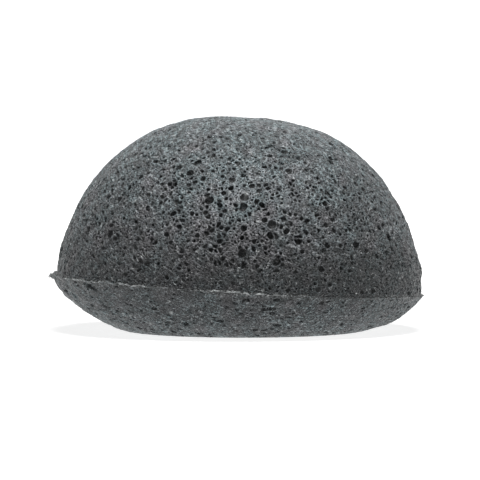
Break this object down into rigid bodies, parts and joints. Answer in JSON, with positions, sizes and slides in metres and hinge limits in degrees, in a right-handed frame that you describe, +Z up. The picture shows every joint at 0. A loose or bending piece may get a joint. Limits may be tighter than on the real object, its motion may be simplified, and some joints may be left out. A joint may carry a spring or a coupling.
{
  "type": "konjac sponge",
  "caption": "Half-ball cleansing sponge of open charcoal foam, with a moulding lip round its seam and a flat patch under its low rounded underside.",
  "frame": {"origin": "on the surface that the sponge rests on, under the middle of the seam lip's outline", "axes": "+Z up through the crown, -Y towards the viewer of the picture, +X to the right, where the seam is lowest"},
  "size_m": [0.0798, 0.08, 0.0456],
  "materials": {
    "charcoal_foam": "matt open foam, dark grey with fine pale cell walls",
    "seam_gel": "denser gel film, a little paler and smoother than the foam, torn along its edge"
  },
  "bodies": {
    "root": {"sponge_body": "charcoal_foam", "seam_lip": "seam_gel"}
  },
  "joints": []
}
